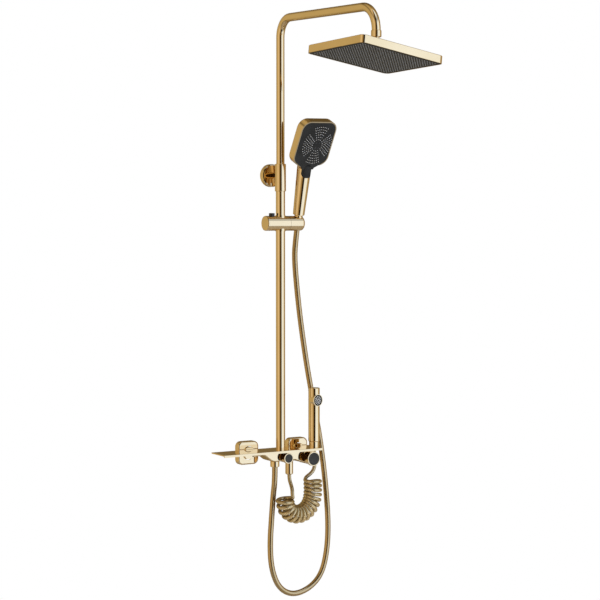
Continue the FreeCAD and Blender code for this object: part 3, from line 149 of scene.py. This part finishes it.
finishes = {
    "polishedGold": {
        "color": (0.79, 0.61, 0.35), "secondColor": (0.83, 0.65, 0.39), "metallic": 1,
        "roughness": (0.035, 0.07), "cloudScale": 9, "grainScale": 60, "bump": 0.01},
    "platedGold": {
        "color": (0.78, 0.6, 0.34), "secondColor": (0.83, 0.65, 0.39), "metallic": 1,
        "roughness": (0.05, 0.09), "cloudScale": 12, "grainScale": 60, "bump": 0.012},
    "hoseGold": {
        "color": (0.5, 0.365, 0.18), "secondColor": (0.55, 0.4, 0.21), "metallic": 1,
        "roughness": (0.16, 0.22), "cloudScale": 20, "grainScale": 300, "bump": 0.02},
    "coilGold": {
        "color": (0.46, 0.35, 0.17), "secondColor": (0.52, 0.4, 0.21), "metallic": 0.85, "coat": 0.5,
        "roughness": (0.26, 0.34), "cloudScale": 24, "grainScale": 300, "bump": 0.02},
    "charcoal": {
        "color": (0.02, 0.02, 0.019), "secondColor": (0.025, 0.025, 0.024), "specular": 0.08,
        "roughness": (0.45, 0.55), "cloudScale": 40, "grainScale": 700, "bump": 0.12},
    "blackPlastic": {
        "color": (0.02, 0.02, 0.022), "secondColor": (0.03, 0.03, 0.032),
        "roughness": (0.3, 0.42), "cloudScale": 60, "grainScale": 1600, "bump": 0.15},
    "greyRubber": {
        "color": (0.1, 0.1, 0.105), "secondColor": (0.13, 0.13, 0.135),
        "roughness": (0.6, 0.75), "cloudScale": 50, "grainScale": 1200, "bump": 0.2},
    "nozzleRubber": {
        "color": (0.66, 0.66, 0.65), "secondColor": (0.74, 0.74, 0.73),
        "roughness": (0.5, 0.65), "cloudScale": 90, "grainScale": 1200, "bump": 0.1},
    "darkRubber": {
        "color": (0.2, 0.2, 0.198), "secondColor": (0.24, 0.24, 0.238),
        "roughness": (0.5, 0.65), "cloudScale": 90, "grainScale": 1200, "bump": 0.1},
    "steel": {
        "color": (0.55, 0.55, 0.56), "secondColor": (0.64, 0.64, 0.65), "metallic": 1,
        "roughness": (0.22, 0.36), "cloudScale": 80, "grainScale": 700, "bump": 0.1, "stretch": (1, 1, 8)},
    "whitePlastic": {
        "color": (0.7, 0.7, 0.68), "secondColor": (0.76, 0.76, 0.74),
        "roughness": (0.35, 0.5), "cloudScale": 40, "grainScale": 900, "bump": 0.1},
}
material = {name: makeFinish(name, spec) for name, spec in finishes.items()}
slotFinish = {
    "polished_gold": "polishedGold", "plated_gold": "platedGold", "charcoal": "charcoal",
    "black_plastic": "blackPlastic", "grey_silicone": "greyRubber", "steel": "steel",
    "white_plastic": "whitePlastic", "gold_hose": "hoseGold"}
for part in frame["record"]["subparts"]:
    data = nodes[part["node"]].data
    data.materials.clear()
    data.materials.append(material[slotFinish[part["material_slot"]]])
print("finishes done")


def routeCurve(name, points):
    curve = bpy.data.curves.new(name, "CURVE")
    curve.dimensions = "3D"
    curve.resolution_u = 12
    spline = curve.splines.new("NURBS")
    spline.points.add(len(points) - 1)
    for point, spot in zip(spline.points, points):
        point.co = (*spot, 1)
    spline.order_u = 3
    spline.use_endpoint_u = True
    return link(bpy.data.objects.new(name, curve))


def lineOf(route):
    # the smooth line's own points, in order
    mesh = bpy.data.meshes.new_from_object(route)
    points = [v.co.copy() for v in mesh.vertices]
    bpy.data.meshes.remove(mesh)
    return points


def lengthOf(points):
    return sum((b - a).length for a, b in zip(points, points[1:]))


def ribTree(name):
    # a tube along a curve whose radius rises and falls once a pitch
    tree = bpy.data.node_groups.new(name, "GeometryNodeTree")
    face = tree.interface
    face.new_socket("Geometry", in_out="OUTPUT", socket_type="NodeSocketGeometry")
    face.new_socket("Geometry", in_out="INPUT", socket_type="NodeSocketGeometry")
    for label in ("Step", "Pitch", "Depth", "Radius"):
        face.new_socket(label, in_out="INPUT", socket_type="NodeSocketFloat")
    face.new_socket("Material", in_out="INPUT", socket_type="NodeSocketMaterial")
    add = tree.nodes.new
    join = tree.links.new
    start, end = add("NodeGroupInput"), add("NodeGroupOutput")
    resample = add("GeometryNodeResampleCurve")
    resample.mode = "LENGTH"
    join(start.outputs["Geometry"], resample.inputs["Curve"])
    join(start.outputs["Step"], resample.inputs["Length"])
    along = add("GeometryNodeSplineParameter")
    turns = add("ShaderNodeMath")
    turns.operation = "DIVIDE"
    join(along.outputs["Length"], turns.inputs[0])
    join(start.outputs["Pitch"], turns.inputs[1])
    phase = add("ShaderNodeMath")
    phase.operation = "MULTIPLY"
    phase.inputs[1].default_value = 2 * math.pi
    join(turns.outputs[0], phase.inputs[0])
    wave = add("ShaderNodeMath")
    wave.operation = "COSINE"
    join(phase.outputs[0], wave.inputs[0])
    depth = add("ShaderNodeMath")
    depth.operation = "MULTIPLY_ADD"
    join(wave.outputs[0], depth.inputs[0])
    join(start.outputs["Depth"], depth.inputs[1])
    depth.inputs[2].default_value = 1
    ringLine = add("GeometryNodeCurvePrimitiveCircle")
    ringLine.inputs["Resolution"].default_value = 18
    join(start.outputs["Radius"], ringLine.inputs["Radius"])
    sweep = add("GeometryNodeCurveToMesh")
    sweep.inputs["Fill Caps"].default_value = True
    join(resample.outputs["Curve"], sweep.inputs["Curve"])
    join(ringLine.outputs["Curve"], sweep.inputs["Profile Curve"])
    join(depth.outputs[0], sweep.inputs["Scale"])
    solid = add("GeometryNodeRealizeInstances")
    join(sweep.outputs["Mesh"], solid.inputs["Geometry"])
    paint = add("GeometryNodeSetMaterial")
    join(solid.outputs["Geometry"], paint.inputs["Geometry"])
    join(start.outputs["Material"], paint.inputs["Material"])
    join(paint.outputs["Geometry"], end.inputs["Geometry"])
    return tree


def addTree(piece, tree, **values):
    # a modifier's inputs are set by the socket's identifier
    modifier = piece.modifiers.new(tree.name, "NODES")
    modifier.node_group = tree
    for item in tree.interface.items_tree:
        if item.in_out == "INPUT" and item.name in values:
            modifier[item.identifier] = values[item.name]
    return modifier


handHose = {"radius": 7.3, "pitch": 2.4, "step": 0.6, "depth": 0.005, "points": [
    (52, -51.17, 578.39), (52, -45.1, 552.1), (48.5, -44, 508), (56, -43, 430), (71, -39, 330),
    (93, -36, 210), (114, -36, 110), (128, -40, 35), (131, -55, -40), (136, -63, -120),
    (141, -65, -205), (137, -65, -275), (121, -65, -335), (85, -64, -370), (34, -62, -384),
    (-8, -60, -362), (-29, -57, -310), (-32, -54, -245), (-24, -50, -170), (-20, -51, -115),
    (-21.4, -62, -76), (-21.4, -62, -39.5)]}


def makeHandHose(spec):
    route = routeCurve("handHoseRoute", [Vector(p) * mm for p in spec["points"]])
    line = lineOf(route)
    addTree(route, ribTree("hoseRibs"), Step=spec["step"] * mm, Pitch=spec["pitch"] * mm,
            Depth=spec["depth"], Radius=spec["radius"] * mm, Material=material["hoseGold"])
    hose = settle(route, "handHose")
    smoothAbove(hose.data, 50)
    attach(hose, "base")
    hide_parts("hand_hose")
    print("hand hose", round(lengthOf(line), 3), "m,", len(hose.data.polygons), "faces")


makeHandHose(handHose)


bidetHose = {
    "radius": 4.9, "meanRadius": 20.4, "turns": 16, "pointsATurn": 14,
    "startSide": (-9.5, -16.5), "endSide": (9.0, -16.0),  # the sides where the two leads join the turns
    "lower": [(22, -62, -62.5), (22, -62, -75.5), (23, -71, -91), (19, -83, -101), (16.5, -87.5, -112)],
    "axis": [(0, -78, -122), (0, -78, -142), (14, -78, -161), (38, -78, -169), (64, -78, -161),
             (82, -78, -138), (86, -78, -107), (84, -78, -79)],
    "upper": [(70, -69, -72), (80, -71, -66), (92, -71.5, -55), (96.5, -70, -36), (94, -69, -14),
              (94, -69, 7)]}


def curlPoints(spec):
    # the helix round its own curved axis, whose plane stands along the wall
    axisRoute = routeCurve("curlAxis", [Vector(p) * mm for p in spec["axis"]])
    line = lineOf(axisRoute)
    bpy.data.objects.remove(axisRoute)
    total = lengthOf(line)
    marks = [0]
    for a, b in zip(line, line[1:]):
        marks.append(marks[-1] + (b - a).length)

    def at(distance):
        k = 0
        while k < len(line) - 2 and marks[k + 1] < distance:
            k += 1
        share = (distance - marks[k]) / (marks[k + 1] - marks[k])
        return line[k].lerp(line[k + 1], share), (line[k + 1] - line[k]).normalized()

    side = Vector((0, 1, 0))
    r = spec["meanRadius"] * mm
    startAngle = math.atan2(spec["startSide"][1], spec["startSide"][0])
    endAngle = math.atan2(spec["endSide"][1], spec["endSide"][0])
    sweep = spec["turns"] * 2 * math.pi + (endAngle - startAngle)
    count = spec["turns"] * spec["pointsATurn"]
    points = []
    for k in range(count + 1):
        spot, ahead = at(total * k / count)
        across = side.cross(ahead)
        angle = startAngle + sweep * k / count
        points.append(spot + r * (math.cos(angle) * side + math.sin(angle) * across))
    return points


def makeBidetHose(spec):
    points = [Vector(p) * mm for p in spec["lower"]]
    points += curlPoints(spec)
    points += [Vector(p) * mm for p in spec["upper"]]
    route = routeCurve("bidetHose", points)
    route.data.resolution_u = 4
    line = lineOf(route)
    route.data.bevel_depth = spec["radius"] * mm
    route.data.bevel_resolution = 3
    route.data.use_fill_caps = True
    route.data.materials.append(material["coilGold"])
    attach(route, "base")
    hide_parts("bidet_hose_lower_lead", "bidet_hose_curl", "bidet_hose_upper_lead")


makeBidetHose(bidetHose)


def studTree(name):
    # a small cone on every point of a mesh, standing along Z
    tree = bpy.data.node_groups.new(name, "GeometryNodeTree")
    face = tree.interface
    face.new_socket("Geometry", in_out="OUTPUT", socket_type="NodeSocketGeometry")
    face.new_socket("Geometry", in_out="INPUT", socket_type="NodeSocketGeometry")
    for label in ("Foot Radius", "Tip Radius", "Height"):
        face.new_socket(label, in_out="INPUT", socket_type="NodeSocketFloat")
    face.new_socket("Sides", in_out="INPUT", socket_type="NodeSocketInt")
    face.new_socket("Material", in_out="INPUT", socket_type="NodeSocketMaterial")
    add = tree.nodes.new
    join = tree.links.new
    start, end = add("NodeGroupInput"), add("NodeGroupOutput")
    cone = add("GeometryNodeMeshCone")
    join(start.outputs["Sides"], cone.inputs["Vertices"])
    join(start.outputs["Foot Radius"], cone.inputs["Radius Bottom"])
    join(start.outputs["Tip Radius"], cone.inputs["Radius Top"])
    join(start.outputs["Height"], cone.inputs["Depth"])
    spread = add("GeometryNodeInstanceOnPoints")
    join(start.outputs["Geometry"], spread.inputs["Points"])
    join(cone.outputs["Mesh"], spread.inputs["Instance"])
    solid = add("GeometryNodeRealizeInstances")
    join(spread.outputs["Instances"], solid.inputs["Geometry"])
    paint = add("GeometryNodeSetMaterial")
    join(solid.outputs["Geometry"], paint.inputs["Geometry"])
    join(start.outputs["Material"], paint.inputs["Material"])
    join(paint.outputs["Geometry"], end.inputs["Geometry"])
    return tree


studs = studTree("studs")


def makeStuds(name, body, matrix, points, spec, finish):
    mesh = bpy.data.meshes.new(name)
    mesh.from_pydata([Vector(p) * mm for p in points], [], [])
    holder = link(bpy.data.objects.new(name, mesh))
    addTree(holder, studs, **{
        "Foot Radius": spec["foot"] * mm, "Tip Radius": spec["tip"] * mm, "Height": spec["height"] * mm,
        "Sides": spec["sides"], "Material": material[finish]})
    piece = settle(holder, name)
    piece.data.transform(matrix)
    smoothAbove(piece.data, 40)
    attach(piece, body)
    print(name, len(points), "studs")


rainHead = {"centre": (0, -505, 1021.5), "yaw": 7.8, "pitch": -2.9, "roll": 8.2,
            "pitchX": 8.4, "pitchY": 8.2, "margin": 3, "foot": 1.6, "tip": 0.9, "height": 1.2, "sides": 8}


def makeRainNozzles(spec):
    turn = turnAbout("Z", spec["yaw"]) @ turnAbout("X", spec["pitch"]) @ turnAbout("Y", spec["roll"])
    seat = place(*spec["centre"]) @ turn
    low, high = localBox("rain_nozzle_mat", seat)
    low.z = min(low.z, localBox("rain_head_face", seat)[0].z)  # the nozzles stand out through the face
    flip = seat @ Matrix.Translation((0, 0, low.z)) @ turnAbout("X", 180)
    countX = int(((high.x - low.x) / mm - 2 * spec["margin"]) / spec["pitchX"])
    countY = int(((high.y - low.y) / mm - 2 * spec["margin"]) / spec["pitchY"])
    points = []
    for i in range(countX + 1):
        for j in range(countY + 1):
            x = (i - countX / 2) * spec["pitchX"]
            y = (j - countY / 2) * spec["pitchY"]
            points.append((x, y, 0))
    makeStuds("rainNozzles", "rain_head", flip, points, spec, "darkRubber")


makeRainNozzles(rainHead)

handsetSpray = {"holder": (52, -55, 595), "lean": 13, "turn": 6, "centre": 221, "forward": 22, "bend": 15,
                "foot": 0.95, "tip": 0.6, "height": 1.0, "sides": 8, "rows": 6, "start": 16,
                "stepAcross": 5.6, "spreadAcross": 84, "firstAcross": 5,
                "stepUp": 7.0, "spreadUp": 46, "firstUp": 3, "halfWidth": 47, "halfHeight": 54}
handsetJets = {"foot": 2.6, "tip": 2.1, "height": 1.4, "sides": 20, "across": 4.6, "up": 7}
handsetSeat = (place(*handsetSpray["holder"]) @ turnAbout("X", handsetSpray["lean"])
               @ turnAbout("Z", handsetSpray["turn"])
               @ place(0, -handsetSpray["forward"], handsetSpray["centre"])
               @ turnAbout("X", 90 + handsetSpray["bend"]))


def makeHandsetNozzles(spec):
    front = localBox("handset_face", handsetSeat)[1].z / mm
    points = []
    for quarter in range(4):
        way = "Up" if quarter % 2 else "Across"
        for row in range(spec["rows"]):
            r = spec["start"] + row * spec["step" + way]
            many = spec["first" + way] + row
            for k in range(many):
                angle = math.radians(90 * quarter + (k / (many - 1) - 0.5) * spec["spread" + way])
                x, y = r * math.cos(angle), r * math.sin(angle)
                if abs(x) < spec["halfWidth"] and abs(y) < spec["halfHeight"]:
                    points.append((x, y, front))
    makeStuds("handsetNozzles", "handset", handsetSeat, points, spec, "nozzleRubber")
    jets = [(x * handsetJets["across"], y * handsetJets["up"], front) for x in (-1, 1) for y in (-1, 1)]
    makeStuds("handsetJets", "handset", handsetSeat, jets, handsetJets, "blackPlastic")


makeHandsetNozzles(handsetSpray)

sprayerHead = {"foot": 0.9, "tip": 0.5, "height": 0.8, "sides": 8, "place": (94, -69, 5), "turn": 11,
               "discHeight": 125, "rings": ((3.2, 6), (6.4, 12), (9.6, 18))}
sprayerSeat = (place(*sprayerHead["place"]) @ turnAbout("Z", sprayerHead["turn"])
               @ place(0, 0, sprayerHead["discHeight"]) @ turnAbout("X", 90))


def makeSprayerNozzles(spec):
    front = localBox("sprayer_face", sprayerSeat)[1].z / mm
    points = [(0, 0, front)]
    for ring, many in spec["rings"]:
        for k in range(many):
            angle = 2 * math.pi * k / many
            points.append((ring * math.cos(angle), ring * math.sin(angle), front))
    makeStuds("sprayerNozzles", "sprayer", sprayerSeat, points, spec, "nozzleRubber")


makeSprayerNozzles(sprayerHead)


studio = {
    "floorHeight": -1.0, "floorSide": 3.4, "facing": 90 + cameraPlace["azimuth"], "power": 1.75,
    # direction from the camera's own, in degrees, and the room's colour there
    "bands": [
        (-180, (0.2, 0.14, 0.06)), (-155, (0.3, 0.22, 0.1)), (-125, (0.6, 0.48, 0.25)),
        (-75, (0.62, 0.49, 0.27)), (-62, (0.84, 0.68, 0.46)), (-36, (0.88, 0.72, 0.5)),
        (-26, (0.45, 0.33, 0.16)), (-8, (0.38, 0.27, 0.12)), (-4, (0.025, 0.012, 0.004)),
        (25, (0.02, 0.01, 0.004)), (31, (1.05, 1.22, 1.58)), (84, (1.12, 1.3, 1.66)),
        (94, (0.55, 0.44, 0.24)), (140, (0.4, 0.3, 0.15)), (180, (0.2, 0.14, 0.06))],
    # sine of the height above the horizon, and the share of the colour there
    "heights": [
        (-1, 0.6), (-0.8, 0.5), (-0.66, 0.3), (-0.5, 1), (0.5, 1), (0.68, 0.35), (0.85, 0.9), (1, 1)],
    "floorFinish": {
        "color": (0.82, 0.82, 0.81), "secondColor": (0.85, 0.85, 0.84), "roughness": (0.7, 0.8),
        "cloudScale": 3, "grainScale": 80, "bump": 0.05}}


def fillRamp(ramp, stops):
    ramp.color_ramp.interpolation = "LINEAR"
    elements = ramp.color_ramp.elements
    elements.remove(elements[1])
    elements[0].position = stops[0][0]
    elements[0].color = stops[0][1]
    for position, color in stops[1:]:
        elements.new(position).color = color


def makeStudio(spec):
    world = bpy.data.worlds.new("studio")
    bpy.context.scene.world = world
    world.use_nodes = True
    tree = world.node_tree
    tree.nodes.clear()
    add = tree.nodes.new
    join = tree.links.new
    where = add("ShaderNodeTexCoord")
    turn = add("ShaderNodeMapping")
    turn.inputs["Rotation"].default_value = (0, 0, math.radians(spec["facing"]))
    join(where.outputs["Generated"], turn.inputs["Vector"])
    apart = add("ShaderNodeSeparateXYZ")
    join(turn.outputs["Vector"], apart.inputs["Vector"])
    angle = add("ShaderNodeMath")
    angle.operation = "ARCTAN2"
    join(apart.outputs["Y"], angle.inputs[0])
    join(apart.outputs["X"], angle.inputs[1])
    share = add("ShaderNodeMapRange")
    share.inputs["From Min"].default_value = -math.pi
    share.inputs["From Max"].default_value = math.pi
    join(angle.outputs[0], share.inputs["Value"])
    bands = add("ShaderNodeValToRGB")
    fillRamp(bands, [((a + 180) / 360, (*(v / spec["power"] for v in c), 1)) for a, c in spec["bands"]])
    join(share.outputs["Result"], bands.inputs["Fac"])
    height = add("ShaderNodeMapRange")
    height.inputs["From Min"].default_value = -1
    join(apart.outputs["Z"], height.inputs["Value"])
    levels = add("ShaderNodeValToRGB")
    fillRamp(levels, [((z + 1) / 2, (v, v, v, 1)) for z, v in spec["heights"]])
    join(height.outputs["Result"], levels.inputs["Fac"])
    both = add("ShaderNodeMix")
    both.data_type = "RGBA"
    both.blend_type = "MULTIPLY"
    both.inputs["Factor"].default_value = 1
    join(bands.outputs["Color"], both.inputs["A"])
    join(levels.outputs["Color"], both.inputs["B"])
    room = add("ShaderNodeBackground")
    room.inputs["Strength"].default_value = spec["power"]
    join(both.outputs["Result"], room.inputs["Color"])
    plain = add("ShaderNodeBackground")
    plain.inputs["Color"].default_value = (1, 1, 1, 1)
    ray = add("ShaderNodeLightPath")
    mix = add("ShaderNodeMixShader")
    join(ray.outputs["Is Camera Ray"], mix.inputs["Fac"])
    join(room.outputs["Background"], mix.inputs[1])
    join(plain.outputs["Background"], mix.inputs[2])
    out = add("ShaderNodeOutputWorld")
    join(mix.outputs["Shader"], out.inputs["Surface"])
    half = spec["floorSide"] / 2
    mesh = bpy.data.meshes.new("floor")
    corners = [(-half, -half), (half, -half), (half, half), (-half, half)]
    mesh.from_pydata([(x, y, spec["floorHeight"]) for x, y in corners], [], [(0, 1, 2, 3)])
    floor = link(bpy.data.objects.new("floor", mesh))
    mesh.materials.append(makeFinish("paleFloor", spec["floorFinish"]))


def makeLight(name, at, aim, size, power, color):
    data = bpy.data.lights.new(name, "AREA")
    data.shape = "RECTANGLE"
    data.size, data.size_y = size
    data.energy = power
    data.color = color
    light = link(bpy.data.objects.new(name, data))
    light.location = at
    light.visible_glossy = False  # the room alone is mirrored in the gold
    light.rotation_euler = (Vector(aim) - Vector(at)).to_track_quat("-Z", "Y").to_euler()


makeStudio(studio)
makeLight("softTop", (0.6, -1.6, 3.2), (0, -0.2, 0.5), (2.0, 1.2), 18, (1, 0.98, 0.95))
makeLight("softLow", (0, -0.6, -0.7), (0, -0.35, 1.0), (1.0, 0.9), 26, (1, 1, 1))
print("studio done")
